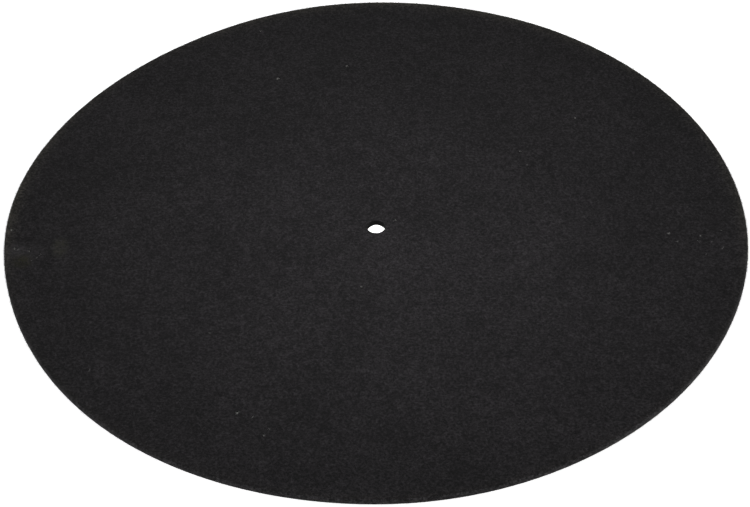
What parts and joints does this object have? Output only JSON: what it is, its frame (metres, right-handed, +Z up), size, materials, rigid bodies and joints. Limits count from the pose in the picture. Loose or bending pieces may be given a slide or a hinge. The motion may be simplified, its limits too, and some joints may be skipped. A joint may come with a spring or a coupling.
{
  "type": "turntable platter mat",
  "caption": "Flat round felt mat with a punched centre hole, which lies on a turntable platter and cushions a record.",
  "frame": {"origin": "centre of the spindle hole, on the flat underside that lies on the platter", "axes": "+Z up along the spindle's axis, out of the face that the record lies on; the mat is round, so X and Y are any two directions across it"},
  "size_m": [0.3, 0.3, 0.002],
  "materials": {
    "black_felt": "matt pressed felt, near-black, with a fine mottled grain of tangled fibres"
  },
  "bodies": {
    "root": {"platter_mat": "black_felt"}
  },
  "joints": []
}
